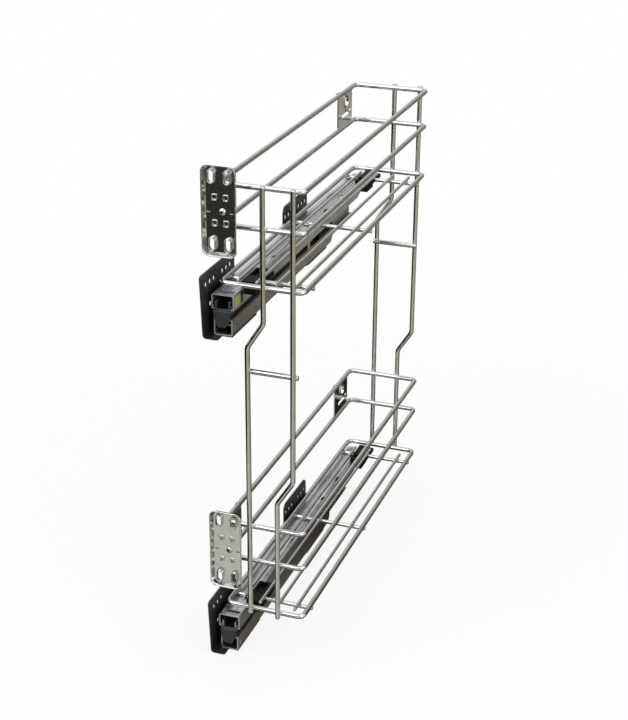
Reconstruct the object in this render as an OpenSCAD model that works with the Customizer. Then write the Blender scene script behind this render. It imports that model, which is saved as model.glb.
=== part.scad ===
// Two-tier wire pull-out for a narrow base cabinet, hung on its left wall.
// +X points from the cabinet wall across the basket, -Y is the pull direction, +Z is up.
// The origin lies on the wall, midway between the screw holes of the lower front wall bracket.

/* [Basket] */
// Width between the centrelines of the left and right rails
basket_w = 97; // [90:1:105]
// Depth between the centrelines of the front and back rails
basket_d = 460; // [435:5:475]
// Height from the bottom rail to the top rail of a tier
tier_h = 112.5; // [95:2.5:140]
// Height from the bottom rail to the middle rail
mid_rail_h = 66.5; // [50:0.5:80]
// Height from one tier to the next
tier_pitch = 412; // [380:4:480]
// Centreline radius of the rail corners
rail_corner_r = 7; // [5:0.5:16]

/* [Wires] */
// Diameter of the rails, uprights and tie bars
rail_d = 6; // [5:0.5:7]
// Diameter of the cross bars under the floor
cross_bar_d = 5; // [4:0.5:6]
// Diameter of the lengthwise floor wires
floor_wire_d = 4; // [3:0.5:5]
// Number of lengthwise floor wires
floor_wire_count = 4; // [3:1:4]
// Depth to which welded wires sink into each other
weld_sink = 0.3; // [0.2:0.1:0.4]

/* [Uprights] */
// Distance between the two uprights of a pair
upright_gap = 34.5; // [30:0.5:38]
// Length of the slanting run of each upright, between its two bends
upright_slant = 28.9; // [20:0.1:32]
// Height of the tie bars above the lower bottom rail
tie_bar_h = 310.8; // [250:0.1:320]

/* [Runners] */
// Length of the moving member that carries the basket
drawer_member_l = 450; // [400:10:460]
// Length of the middle member
middle_member_l = 412; // [380:1:430]
// Length of the fixed channel
fixed_channel_l = 333; // [310:1:350]
// Width of the moving member
drawer_member_w = 26.5; // [24:0.5:28]
// Width of the fixed channel
fixed_channel_w = 22; // [21:0.5:24]
// Thickness of the runner steel
runner_t = 1.5; // [1.2:0.1:1.8]
// Distance from the wall to the centre of the runner
runner_x = 20; // [20:0.5:24]

/* [Wall brackets] */
// Thickness of the wall brackets
bracket_t = 2; // [1.5:0.5:3]
// Distance between neighbouring screw holes in a group
hole_pitch = 11; // [9:1:12]
// Distance between the two groups of screw holes
hole_group_gap = 46; // [40:1:50]
// Diameter of the screw holes
screw_hole_d = 7; // [5:0.5:8]
// Distance from the front screw holes to the rear ones
bracket_pitch = 243; // [220:1:245]

/* [Door brackets] */
// Width of the door brackets over the rim
door_bracket_w = 40.7; // [36:0.1:42]
// Height of the door brackets
door_bracket_h = 102; // [92:0.5:112]
// Depth of the rim that meets the door
door_rim = 5.5; // [4:0.5:8]
// Height of the collars round the slots
door_collar = 4.8; // [2:0.1:5]
// Sideways distance between the slots
door_slot_gap_x = 18.3; // [16:0.1:20]
// Height between the slots
door_slot_gap_z = 74.3; // [64:0.1:76]

/* [Hidden] */
$fn = 48;
rail_x = 11;                                    // left rail, from the wall
rail_y = -17;                                   // front rail
rail_z = -2.3;                                  // lower bottom rail
cross_z = rail_z - (rail_d + cross_bar_d) / 2 + weld_sink;
floor_z = cross_z + (cross_bar_d + floor_wire_d) / 2 - weld_sink;
runner_top = cross_z - cross_bar_d / 2;         // the cross bars lie on the runner
back_y = rail_y + basket_d;
mid_x = rail_x + basket_w / 2;
cross_bar_y = [rail_y + 30, rail_y + basket_d / 2 + 3, back_y - 28];
cross_bar_overhang = 2.2;
floor_wire_gap = 22.2;
wire_chamfer = 0.8;

upright_off = rail_d - weld_sink;               // uprights stand outside the rails
upright_x = rail_x + 87;                        // right uprights, above their jogs
upright_top = rail_z + tier_pitch + tier_h + rail_d / 2 + 0.8;
jog_sin = 0.5376;                               // slope of the slanting run, 32.5 degrees
jog_cos = 0.8432;
jog_angle = atan2(jog_sin, jog_cos);
jog_bend_r = 12;
jog_w = 2 * jog_bend_r * (1 - jog_cos) + upright_slant * jog_sin;
jog_h = 2 * jog_bend_r * jog_sin + upright_slant * jog_cos;
left_jog_z = tier_pitch - 57.5;                 // middle of the jogs below the upper tier
right_jog_z = 164;                              // middle of the jogs above the lower tier
tie_bar_x = [upright_x - jog_w - upright_gap - 3.5, upright_x + 4.5];

member_y = rail_y - 15;                         // front ends of the runner members
drawer_member_h = 17.7;
fixed_channel_h = 19.2;
fixed_bottom = runner_top - 48.2;
fixed_end_cut = 9;
drawer_lip = 2.35;                              // inward lips of the moving member
lip = 1.6;                                      // and of the fixed channel
drawer_in = drawer_member_w / 2 - runner_t;     // inner half widths
fixed_in = fixed_channel_w / 2 - runner_t;
drawer_bottom = runner_top - drawer_member_h;
clear = 0.35;                                   // running clearance between members
middle_y = member_y - 0.3;
middle_wall_out = drawer_in - drawer_lip - clear;
middle_wall_t = 2.3;
middle_top = runner_top - 8;
middle_web = drawer_bottom - 2;
middle_box_half = 6;
middle_bottom = fixed_bottom + 7;
front_cut_z = drawer_bottom - 15.5;             // the box is cut away below this at the front
upper_flange_z = runner_top - 14.4;
lower_flange_z = fixed_bottom + 12.7;
nose_l = 4;
tongue_l = 22;                                  // rear tongue of the moving member
cage_l = 190;
lower_cage_y = 80;
upper_cage_y = 90;
ball_gap = 0.1;
upper_ball_d = runner_top - runner_t - middle_top - 2 * ball_gap;
lower_ball_d = middle_bottom - fixed_bottom - runner_t - 2 * ball_gap;
upper_ball_z = middle_top + ball_gap + upper_ball_d / 2;
lower_ball_z = fixed_bottom + runner_t + ball_gap + lower_ball_d / 2;
upper_ball_x = 6.6;
lower_ball_x = 4;
ball_count = 8;
ball_fit = 0.1;

bracket_top = 13.9;
bracket_bottom = fixed_bottom - bracket_t;
front_bracket_y = [-49.5, 45.5];
rear_bracket_half = 41;
foot_w = 30;
nose_w = 18;                                    // the front foot ahead of the runner
nose_y = -43.7;                                 // its front edge; the plate slopes back to it
rivet_x = 15;
rivet_y = [-24, 24];
rivet_d = 4;
rivet_head_d = 7;

side_plate_t = 1.5;
side_plate_sink = 0.05;
side_plate_z = [rail_z + mid_rail_h + rail_d / 2 - side_plate_sink,
    rail_z + tier_h - rail_d / 2 + side_plate_sink];
front_side_plate_y = [rail_y + 1, rail_y + 48];
rear_side_plate_y = [back_y - 69.5, back_y - 15];

door_bracket_x = 23.6;
door_bracket_z = rail_z + tier_h - 21.6;
door_base_y = rail_y - 24.9;
door_t = 1.5;
door_corner_r = 6.6;                            // of the flat plate
door_slope = 0.44;                              // outward lean of the rim per depth
door_plate_w = door_bracket_w - 2 * door_slope * door_rim;
door_plate_h = door_bracket_h - 2 * door_slope * door_rim;
door_screw = [2.7, -1];                         // from the middle of the plate
door_slot_w = 6.4;
door_slot_l = 13.6;
flange_y = rail_y + 36;
flange_z = [door_bracket_z - 14, door_bracket_z + 14];
screw_y = [rail_y + 16, rail_y + 31];
screw_h = tier_h - 30.5;                        // height of the flange screws in the plate's slot
screw_d = 4;

// ---------- helpers ----------

// Round wire of diameter d that starts at the origin along +X. Each step is [length, bend angle];
// a positive bend turns left, with the centreline radius r.
module wire(steps, d, r, i = 0) {
    length = steps[i][0];
    angle = steps[i][1];
    side = angle < 0 ? -1 : 1;
    rotate([0, 90, 0]) cylinder(d = d, h = length);
    if (angle != 0) translate([length, 0, 0]) {
        mirror([0, side < 0 ? 1 : 0, 0]) bend(abs(angle), d, r);
        if (i + 1 < len(steps))
            translate([r * sin(abs(angle)), side * r * (1 - cos(angle)), 0]) rotate([0, 0, angle])
                wire(steps, d, r, i + 1);
    }
}

// Left bend of a wire that arrives at the origin along +X.
module bend(angle, d, r) translate([0, r, 0])
    if (angle == 90) quarter_bend(d, r);
    else intersection() {
        quarter_bend(d, r);
        translate([0, 0, -d]) linear_extrude(2 * d)
            polygon([[0, 0], [0, -4 * r], [4 * r * sin(angle), -4 * r],
                [4 * r * sin(angle), -4 * r * cos(angle)]]);
    }

module quarter_bend(d, r)
    rotate([0, 0, -90]) rotate_extrude(angle = 90) translate([r, 0]) circle(d = d);

// Extrudes a section drawn in X and Z along Y, from y0 to y1.
module along_y(y0, y1) translate([0, y1, 0]) rotate([90, 0, 0]) linear_extrude(y1 - y0) children();

// Extrudes an outline drawn in Y and Z along X, from x0 to x1.
module along_x(x0, x1) translate([x0, 0, 0]) rotate([90, 0, 90]) linear_extrude(x1 - x0) children();

// Straight wire along +Z with chamfered ends.
module straight_wire(d, length) {
    end_d = d - 2 * wire_chamfer;
    cylinder(d1 = end_d, d2 = d, h = wire_chamfer);
    translate([0, 0, wire_chamfer]) cylinder(d = d, h = length - 2 * wire_chamfer);
    translate([0, 0, length - wire_chamfer]) cylinder(d1 = d, d2 = end_d, h = wire_chamfer);
}

module bar_x(d, x0, x1, y, z) translate([x0, y, z]) rotate([0, 90, 0]) straight_wire(d, x1 - x0);

module bar_y(d, y0, y1, x, z) translate([x, y1, z]) rotate([90, 0, 0]) straight_wire(d, y1 - y0);

module rect(x0, x1, y0, y1) translate([x0, y0]) square([x1 - x0, y1 - y0]);

module rounded_rect(x0, x1, y0, y1, r) {
    rect(x0 + r, x1 - r, y0, y1);
    rect(x0, x1, y0 + r, y1 - r);
    for (x = [x0 + r, x1 - r], y = [y0 + r, y1 - r]) translate([x, y]) circle(r);
}

module slot_shape(w, l) {
    square([w, l - w], center = true);
    for (s = [-1, 1]) translate([0, s * (l - w) / 2]) circle(d = w);
}

module mirrored() for (s = [0, 1]) mirror([s, 0]) children();

module tier(level) translate([0, 0, level * tier_pitch]) children();

// ---------- basket ----------

module rail(level, height) color("silver") tier(level) {
    side = basket_d - 2 * rail_corner_r;
    end = basket_w - 2 * rail_corner_r;
    translate([rail_x + rail_corner_r, rail_y, rail_z + height])
        wire([[end, 90], [side, 90], [end, 90], [side, 90]], rail_d, rail_corner_r);
}

module cross_bars(level) color("silver") tier(level)
    for (y = cross_bar_y)
        bar_x(cross_bar_d, rail_x - cross_bar_overhang, rail_x + basket_w + cross_bar_overhang,
            y, cross_z);

module floor_wires(level) color("silver") tier(level)
    for (i = [0 : floor_wire_count - 1])
        bar_y(floor_wire_d, rail_y + 12.7, back_y - 15,
            mid_x + (i - (floor_wire_count - 1) / 2) * floor_wire_gap, floor_z);

// Upright from its rounded top down to its foot, jogged towards the wall around the height jog_z.
module upright(x, y, jog_z, bottom) color("silver") translate([x, y, upright_top - rail_d / 2]) {
    sphere(d = rail_d);
    upper = upright_top - rail_d / 2 - jog_z - jog_h / 2;
    rotate([90, 90, 0])
        wire([[upper, -jog_angle], [upright_slant, jog_angle],
            [jog_z - jog_h / 2 - bottom, 0]], rail_d, jog_bend_r);
}

module front_upright(x, jog_z) upright(x, rail_y - upright_off, jog_z, rail_z - 4.7);
module rear_upright(x, jog_z) upright(x, back_y + upright_off, jog_z, rail_z - 1.7);

module tie_bar(y) color("silver")
    bar_x(rail_d, tie_bar_x[0], tie_bar_x[1], y, rail_z + tie_bar_h);

// Pressed plate between the middle and top rails, with a hook over the top rail. The slots sit
// nearer the free corner of the basket, so the front plate mirrors the rear one.
module side_plate(level, y, rear, tab_y) color("silver") tier(level) {
    side = rear ? 1 : -1;
    top = rail_z + tier_h;
    slot_y = (y[0] + y[1]) / 2 + side * 2;
    along_x(rail_x - side_plate_t / 2, rail_x + side_plate_t / 2) difference() {
        rounded_rect(y[0], y[1], side_plate_z[0], side_plate_z[1], 2);
        translate([slot_y, top - 12.5]) slot_shape(12, 14.5);
        rect(slot_y - 1.5, slot_y + 1.5, top - 30, top - 18);
        translate([slot_y - side, rail_z + screw_h]) rotate(90) slot_shape(5, 26);
        translate([slot_y + side * 17, top - 27]) circle(d = 5);
    }
    // collar round the slot
    along_x(rail_x, rail_x + side_plate_t / 2 + 1.5) translate([slot_y, top - 12.5]) difference() {
        slot_shape(14.4, 16.9);
        slot_shape(12, 14.5);
        rect(-1.5, 1.5, -10, 0);
    }
    // thin hook over the rail, on the wall side
    r = rail_d / 2 + 0.05;
    along_y(tab_y - 3, tab_y + 3) translate([rail_x, top]) intersection() {
        difference() {
            circle(r + 0.8);
            circle(r);
        }
        rect(-r - 1, 1.2, -r - 1, r + 1);
    }
}

// Rounded rectangle that grows along +Z by the slope on every side.
module flared(w, h, r, d) {
    f = door_slope * d;
    for (x = [r - w / 2, w / 2 - r], y = [r - h / 2, h / 2 - r]) translate([x, y, 0])
        cylinder(r1 = r, r2 = r + f, h = d);
    rotate([90, 0, 0]) translate([0, 0, r - h / 2]) linear_extrude(h - 2 * r)
        polygon([[-w / 2, 0], [w / 2, 0], [w / 2 + f, d], [-w / 2 - f, d]]);
    rotate([90, 0, 90]) translate([0, 0, r - w / 2]) linear_extrude(w - 2 * r)
        polygon([[-h / 2, 0], [h / 2, 0], [h / 2 + f, d], [-h / 2 - f, d]]);
}

// Shallow tray whose flared rim meets the door; a flange runs back along the side plate.
module door_bracket(level) color("gainsboro") tier(level) {
    w = door_plate_w;
    h = door_plate_h;
    r = door_corner_r;
    x = door_bracket_x;
    z = door_bracket_z;
    along_y(door_base_y, door_base_y + door_t) difference() {
        rounded_rect(x - w / 2, x + w / 2, z - h / 2, z + h / 2, r);
        door_slots() slot_shape(door_slot_w, door_slot_l);
        door_tabs() square([4.6, 5.6], center = true);
        translate([x + door_screw.x, z + door_screw.y]) circle(d = screw_d + 0.4);
        for (s = [-1, 1]) translate([x + s * 13.3, z - 2]) square([4, 1.6], center = true);
    }
    translate([x, door_base_y, z]) rotate([90, 0, 0]) difference() {
        flared(w, h, r, door_rim);
        inset = door_t + door_slope;
        translate([0, 0, -1])
            flared(w - 2 * inset, h - 2 * inset, r - inset, door_rim + 2);
    }
    along_y(door_base_y - door_collar, door_base_y) door_slots() difference() {
        slot_shape(door_slot_w + 2 * door_t, door_slot_l + 2 * door_t);
        slot_shape(door_slot_w, door_slot_l);
    }
    along_y(door_base_y - 2, door_base_y) door_tabs() difference() {
        square([7, 8], center = true);
        square([4.6, 5.6], center = true);
    }
    difference() {
        along_x(rail_x - side_plate_t / 2 - door_t, rail_x - side_plate_t / 2)
            rect(door_base_y + door_t, flange_y, flange_z[0], flange_z[1]);
        for (y = screw_y) translate([0, y, rail_z + screw_h]) rotate([0, 90, 0])
            cylinder(d = screw_d + 0.4, h = 40);
    }
}

module door_slots()
    for (sx = [-1, 1], sz = [-1, 1])
        translate([door_bracket_x + sx * door_slot_gap_x / 2, door_bracket_z + sz * door_slot_gap_z / 2])
            children();

module door_tabs()
    for (sx = [-6.5, 6.5], sz = [-14.2, 14.2])
        translate([door_bracket_x + sx, door_bracket_z + sz]) children();

// Screw along +Z: pan head with a cross recess, a shank through two sheets and a square nut.
module screw(sheets) {
    difference() {
        translate([0, 0, -2]) cylinder(d = 7.5, h = 2);
        for (a = [0, 90]) rotate([0, 0, a]) translate([-2.2, -0.5, -3]) cube([4.4, 1, 2]);
    }
    cylinder(d = screw_d, h = sheets);
    translate([-3.5, -3.5, sheets]) cube([7, 7, 3]);
    translate([0, 0, sheets + 3]) cylinder(d = screw_d, h = 1);
}

// Two screws clamp the flange to the side plate; the third one sits in the tray.
module door_bracket_screws(level) color("dimgray") tier(level) {
    for (y = screw_y)
        translate([rail_x - side_plate_t / 2 - door_t, y, rail_z + screw_h]) rotate([0, 90, 0])
            screw(door_t + side_plate_t);
    translate([door_bracket_x + door_screw.x, door_base_y, door_bracket_z + door_screw.y])
        rotate([-90, 0, 0]) screw(door_t);
}

// ---------- runners ----------

// Inverted channel with a beaded top and inward lips, open along the bottom.
module drawer_member_section() {
    half = drawer_member_w / 2;
    difference() {
        union() {
            rounded_rect(-half, half, runner_top - 8, runner_top, 2.5);
            rect(-half, half, drawer_bottom, runner_top - 4);
        }
        rounded_rect(-drawer_in, drawer_in, runner_top - 9, runner_top - runner_t, 1);
        rect(-drawer_in, drawer_in, drawer_bottom + runner_t, runner_top - 5);
        rect(drawer_lip - drawer_in, drawer_in - drawer_lip, drawer_bottom - 1, runner_top - 5);
        for (x = [-5.5, 5.5]) rect(x - 1.1, x + 1.1, runner_top - 0.5, runner_top + 1);
    }
}

module drawer_member(level) color("lightsteelblue") tier(level) {
    end = member_y + drawer_member_l;
    difference() {
        along_y(member_y, end) translate([runner_x, 0]) drawer_member_section();
        // slot across the top behind the front edge, and oblong holes further back
        translate([runner_x - 6, member_y + 8, runner_top - 4]) cube([16, 5, 6]);
        for (y = [130 : 60 : 370]) translate([runner_x + 8.5, member_y + y, runner_top - 4])
            linear_extrude(6) slot_shape(3, 12);
        // the rear ends of the side walls slope upwards
        translate([0, end, 0]) rotate([0, 90, 0]) linear_extrude(60)
            polygon([[7 - runner_top, 1], [5 - drawer_bottom, 1], [5 - drawer_bottom, -26],
                [-drawer_bottom, -24]]);
    }
    translate([runner_x - 9, end, runner_top - runner_t]) cube([12, tongue_l, runner_t]);
}

// Box with two hemmed walls; its flanges run inside the lips of the outer members.
module middle_member_section() {
    rect(-middle_wall_out, middle_wall_out, middle_web - runner_t, middle_web);
    difference() {
        rect(-middle_box_half, middle_box_half, middle_bottom, middle_web);
        rect(runner_t - middle_box_half, middle_box_half - runner_t,
            middle_bottom + runner_t, middle_web - runner_t);
    }
    mirrored() {
        rect(middle_wall_out - middle_wall_t, middle_wall_out,
            middle_web - runner_t, middle_top - middle_wall_t / 2);
        translate([middle_wall_out - middle_wall_t / 2, middle_top - middle_wall_t / 2])
            circle(d = middle_wall_t);
        rect(middle_wall_out, drawer_in - clear, upper_flange_z, upper_flange_z + runner_t);
        rect(middle_box_half, fixed_in - clear, lower_flange_z, lower_flange_z + runner_t);
    }
}

module middle_member(level) color("lightgray") tier(level) {
    end = middle_y + middle_member_l;
    difference() {
        along_y(middle_y, end) translate([runner_x, 0]) middle_member_section();
        // the lower part of the box starts behind the nose
        translate([0, middle_y - 1, middle_bottom - 1])
            cube([60, 14, front_cut_z - middle_bottom + 1]);
        // the upper walls and flanges stop short of the rear end
        translate([0, end - 14, middle_web]) cube([2 * runner_x, 20, 40]);
        for (y = [40 : 70 : 400]) translate([runner_x, middle_y + y, middle_web - 5])
            cylinder(d = 6, h = 10);
    }
    translate([runner_x, end, middle_web - runner_t]) difference() {
        cylinder(d = 14, h = runner_t);
        translate([-10, -20, -1]) cube([20, 20, 4]);
        translate([0, 2.5, -1]) cylinder(d = 4, h = 4);
    }
}

// Plastic nose on the middle member, tapered towards the bottom; its plug fills the box.
module front_buffer(level) color("darkslategray") tier(level) translate([runner_x, 0, 0]) {
    top = drawer_bottom + runner_t;
    step = drawer_bottom - 0.5;
    narrow = middle_wall_out;
    plug = middle_box_half - runner_t - 0.05;
    front = middle_y - nose_l;
    difference() {
        along_y(front, middle_y)
            polygon([[-narrow, top], [narrow, top], [narrow, step], [10, step],
                [10, top - 5], [8.9, top - 11], [7.2, top - 16], [4.7, top - 20.4],
                [4.1, top - 21], [-4.1, top - 21], [-4.7, top - 20.4], [-7.2, top - 16],
                [-8.9, top - 11], [-10, top - 5], [-10, step], [-narrow, step]]);
        // sloping top edge
        along_x(-20, 20)
            polygon([[front - 1, top - 3.3], [front + 4.2, top + 0.35], [front - 1, top + 1]]);
    }
    along_y(middle_y, middle_y + 18)
        rect(-plug, plug, front_cut_z + 0.3, middle_web - runner_t - 0.05);
}

// Fixed channel, open at the top, with inward lips and a sloping rear corner.
module fixed_channel_section() {
    half = fixed_channel_w / 2;
    top = fixed_bottom + fixed_channel_h;
    difference() {
        union() {
            rounded_rect(-half, half, fixed_bottom, fixed_bottom + 8, 2.5);
            rect(-half, half, fixed_bottom + 4, top);
        }
        rounded_rect(-fixed_in, fixed_in, fixed_bottom + runner_t, fixed_bottom + 9, 1);
        rect(-fixed_in, fixed_in, fixed_bottom + 5, top - runner_t);
        rect(lip - fixed_in, fixed_in - lip, fixed_bottom + 5, top + 1);
    }
}

module fixed_channel(level) color("rosybrown") tier(level) {
    end = member_y + fixed_channel_l;
    top = fixed_bottom + fixed_channel_h;
    outer = runner_x + fixed_channel_w / 2;
    difference() {
        along_y(member_y, end) translate([runner_x, 0]) fixed_channel_section();
        translate([0, end, fixed_bottom]) rotate([0, 90, 0]) linear_extrude(60)
            polygon([[1, 1], [1, -fixed_end_cut - 1], [-fixed_end_cut - 1, 1]]);
        // openings in the outer wall
        along_x(runner_x, outer + 1) {
            translate([member_y + 6, fixed_bottom + 9]) slot_shape(3, 8);
            translate([end - 22, fixed_bottom + 9]) slot_shape(3.5, 8);
            for (y = [70 : 60 : 250]) translate([member_y + y, fixed_bottom + 9]) circle(d = 4);
        }
        rivet_places() cylinder(d = rivet_d, h = 10, center = true);
    }
    // stop tab bent up from the lip
    along_x(outer - runner_t, outer) rect(end - 90, end - 84, top - 1, top + 10.5);
}

// Plastic housing of the spring and damper that draw the runner shut; it sits on the outer lip.
module soft_close_unit(level) color("black") tier(level) {
    x = runner_x + fixed_channel_w / 2;
    z = fixed_bottom + fixed_channel_h;
    y = [member_y + fixed_channel_l - 54, member_y + fixed_channel_l - 2];
    difference() {
        along_x(x - runner_t, x) polygon([[y[0] + 4, z], [y[1], z], [y[1], z + 7.5],
            [y[1] - 4, z + 10.8], [y[0] + 10, z + 10.8], [y[0], z + 5], [y[0], z + 1.5]]);
        for (i = [0 : 1]) translate([x - 0.6, y[0] + 16 + i * 14, z + 3]) cube([2, 8, 5]);
    }
}

module ball_places(count, length, y0)
    for (i = [0 : count - 1]) translate([0, y0 + length * (i + 0.5) / count, 0]) children();

// Plastic strip with a hole for each ball and two guide skirts.
module cage(y0, half_w, row_x, z, t, ball_d, skirt_x, skirt_z) color("gray") translate([runner_x, 0, 0]) {
    difference() {
        translate([-half_w, y0, z - t / 2]) cube([2 * half_w, cage_l, t]);
        ball_places(ball_count, cage_l, y0) for (s = [-row_x, row_x])
            translate([s, 0, z - t]) cylinder(d = ball_d + ball_fit, h = 2 * t);
    }
    mirrored() along_y(y0, y0 + cage_l) rect(skirt_x[0], skirt_x[1], skirt_z[0], skirt_z[1]);
}

module balls(y0, row_x, z, ball_d) color("white") translate([runner_x, 0, 0])
    ball_places(ball_count, cage_l, y0) for (s = [-row_x, row_x])
        translate([s, 0, z]) sphere(d = ball_d);

module top_cage(level) tier(level)
    cage(upper_cage_y, drawer_in - 0.5, upper_ball_x, upper_ball_z, 2.2, upper_ball_d,
        [2.2, 3.2], [middle_web + 1, upper_ball_z]);
module top_balls(level) tier(level)
    balls(upper_cage_y, upper_ball_x, upper_ball_z, upper_ball_d);
module bottom_cage(level) tier(level)
    cage(lower_cage_y, fixed_in - 0.5, lower_ball_x, lower_ball_z, 1.6, lower_ball_d,
        [fixed_in - 1.7, fixed_in - 0.5], [lower_ball_z, lower_flange_z - 1]);
module bottom_balls(level) tier(level)
    balls(lower_cage_y, lower_ball_x, lower_ball_z, lower_ball_d);

// ---------- clips between basket and runner ----------

clip_top = floor_z - floor_wire_d / 2 - 0.3;    // runs under the floor wire
saddle_top = cross_z + cross_bar_d / 2 + 1.1;
clip_x = [runner_x + 9.2, runner_x + 30.5];
saddle_x = [clip_x[0], runner_x + 25.4];        // stands up between two floor wires
clip_drop = 9;

// Plastic block on the moving member that closes round a cross bar. The saddle over the bar ends
// at a ridge, and the rest of it is a frame round a pocket. A drop hugs the side of the member.
module clip(level, y, bar_y, ridge_y, drop_end) color("black") tier(level) {
    frame_y = ridge_y > bar_y ? [ridge_y + 2, y[1] - 3] : [y[0] + 3, ridge_y - 2];
    difference() {
        union() {
            translate([clip_x[0], y[0], runner_top])
                cube([clip_x[1] - clip_x[0], y[1] - y[0], clip_top - runner_top]);
            translate([saddle_x[0], y[0], runner_top])
                cube([saddle_x[1] - saddle_x[0], y[1] - y[0], saddle_top - runner_top]);
            along_y(y[0], drop_end)
                rect(runner_x + drawer_member_w / 2, clip_x[1] - 4.5, runner_top - clip_drop,
                    runner_top + 1);
        }
        translate([0, bar_y, cross_z]) rotate([0, 90, 0]) cylinder(d = cross_bar_d + 0.1, h = 100);
        translate([0, ridge_y - 0.6, saddle_top - 1.6]) cube([100, 1.2, 5]);
        translate([saddle_x[0] + 2.5, frame_y[0], saddle_top - 4])
            cube([saddle_x[1] - saddle_x[0] - 5, frame_y[1] - frame_y[0], 5]);
    }
}

module front_clip(level) let (y = cross_bar_y[0])
    clip(level, [y - 14, y + 31], y, y + 6.5, y + 31);
module rear_clip(level) let (y = cross_bar_y[2])
    clip(level, [y - 21, y + 23], y, y - 6.5, y + 4);

// ---------- wall brackets ----------

module screw_holes() for (s = [-1, 1], i = [-1 : 1])
    translate([s * hole_group_gap / 2 + i * hole_pitch, 0]) circle(d = screw_hole_d);

// Plate against the wall, bent under the runner as a foot. The foot of the front bracket runs on
// ahead of the runner as a narrower nose.
module wall_bracket(level, y, y0, front, foot_r) color("dimgray") tier(level) translate([0, y0, 0]) {
    bend_r = 4;
    difference() {
        along_y(y[0], y[1]) {
            rect(0, bracket_t, bracket_bottom + bend_r, bracket_top);
            rect(bend_r, foot_w, bracket_bottom, bracket_bottom + bracket_t);
            intersection() {
                translate([bend_r, bracket_bottom + bend_r]) difference() {
                    circle(bend_r);
                    circle(bend_r - bracket_t);
                }
                rect(0, bend_r, bracket_bottom, bracket_bottom + bend_r);
            }
        }
        corner_cut(y[0], front ? 4 : 8, 1);
        corner_cut(y[1], front ? 6 : 8, -1);
        foot_cut(foot_w, y[0], foot_r, 1);
        foot_cut(foot_w, y[1], 5, -1);
        along_x(-1, bracket_t + 1) screw_holes();
        for (r = rivet_y) translate([rivet_x, r, bracket_bottom])
            cylinder(d = rivet_d, h = 10, center = true);
        if (front) {
            along_x(-1, bracket_t + 1)
                translate([-hole_group_gap / 2, -26]) circle(d = screw_hole_d);
            translate([9, nose_y + 5, bracket_bottom]) cylinder(d = 3, h = 10, center = true);
            translate([nose_w, y[0] - 1, bracket_bottom - 1])
                cube([foot_w, member_y + 3 - y[0], bracket_t + 2]);
            along_x(-1, foot_w + 1) polygon([[y[0] - 5, bracket_top + 1],
                [y[0] - 0.08, bracket_top + 1], [nose_y, bracket_bottom + bend_r],
                [nose_y, bracket_bottom - 1], [y[0] - 5, bracket_bottom - 1]]);
            foot_cut(nose_w, nose_y, 3, 1);
        }
    }
}

// Rounds an upper corner of the plate.
module corner_cut(y, r, side) along_x(-1, bracket_t + 1) difference() {
    rect(min(y, y + side * r) - (side > 0 ? 1 : 0), max(y, y + side * r) + (side < 0 ? 1 : 0),
        bracket_top - r, bracket_top + 1);
    translate([y + side * r, bracket_top - r]) circle(r);
}

// Rounds a free corner of the foot, where the foot is w wide.
module foot_cut(w, y, r, side)
    translate([0, 0, bracket_bottom - 1]) linear_extrude(bracket_t + 2) difference() {
        rect(w - r, w + 1, min(y, y + side * r) - (side > 0 ? 1 : 0),
            max(y, y + side * r) + (side < 0 ? 1 : 0));
        translate([w - r, y + side * r]) circle(r);
    }

module front_wall_bracket(level) wall_bracket(level, front_bracket_y, 0, true, 3);
module rear_wall_bracket(level)
    wall_bracket(level, [-rear_bracket_half, rear_bracket_half], bracket_pitch, false, 14);

module rivet_places()
    for (y0 = [0, bracket_pitch], y = rivet_y) translate([rivet_x, y0 + y, fixed_bottom]) children();

module rivets(level) color("silver") tier(level) rivet_places() {
    translate([0, 0, -bracket_t - 1.2]) cylinder(d = rivet_head_d, h = 1.2);
    translate([0, 0, -bracket_t]) cylinder(d = rivet_d, h = bracket_t + runner_t);
}

// ---------- nodes ----------

rail(0, tier_h);  // lower_top_rail
rail(0, mid_rail_h);  // lower_middle_rail
rail(0, 0);  // lower_bottom_rail
rail(1, tier_h);  // upper_top_rail
rail(1, mid_rail_h);  // upper_middle_rail
rail(1, 0);  // upper_bottom_rail
cross_bars(0);  // lower_cross_bars
cross_bars(1);  // upper_cross_bars
floor_wires(0);  // lower_floor_wires
floor_wires(1);  // upper_floor_wires
front_upright(upright_x - upright_gap, left_jog_z);  // front_left_upright
front_upright(upright_x, right_jog_z);  // front_right_upright
rear_upright(upright_x - upright_gap, left_jog_z);  // rear_left_upright
rear_upright(upright_x, right_jog_z);  // rear_right_upright
tie_bar(rail_y);  // front_tie_bar
tie_bar(back_y);  // rear_tie_bar
side_plate(0, front_side_plate_y, false, front_side_plate_y[1] - 7);  // lower_front_side_plate
side_plate(0, rear_side_plate_y, true, rear_side_plate_y[0] + 6);  // lower_rear_side_plate
side_plate(1, front_side_plate_y, false, front_side_plate_y[1] - 7);  // upper_front_side_plate
side_plate(1, rear_side_plate_y, true, rear_side_plate_y[0] + 6);  // upper_rear_side_plate
door_bracket(0);  // lower_door_bracket
door_bracket(1);  // upper_door_bracket
door_bracket_screws(0);  // lower_door_bracket_screws
door_bracket_screws(1);  // upper_door_bracket_screws
drawer_member(0);  // lower_drawer_member
drawer_member(1);  // upper_drawer_member
front_clip(0);  // lower_front_clip
front_clip(1);  // upper_front_clip
rear_clip(0);  // lower_rear_clip
rear_clip(1);  // upper_rear_clip
middle_member(0);  // lower_middle_member
middle_member(1);  // upper_middle_member
front_buffer(0);  // lower_front_buffer
front_buffer(1);  // upper_front_buffer
top_cage(0);  // lower_tier_top_cage
top_balls(0);  // lower_tier_top_balls
bottom_cage(0);  // lower_tier_bottom_cage
bottom_balls(0);  // lower_tier_bottom_balls
top_cage(1);  // upper_tier_top_cage
top_balls(1);  // upper_tier_top_balls
bottom_cage(1);  // upper_tier_bottom_cage
bottom_balls(1);  // upper_tier_bottom_balls
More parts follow.
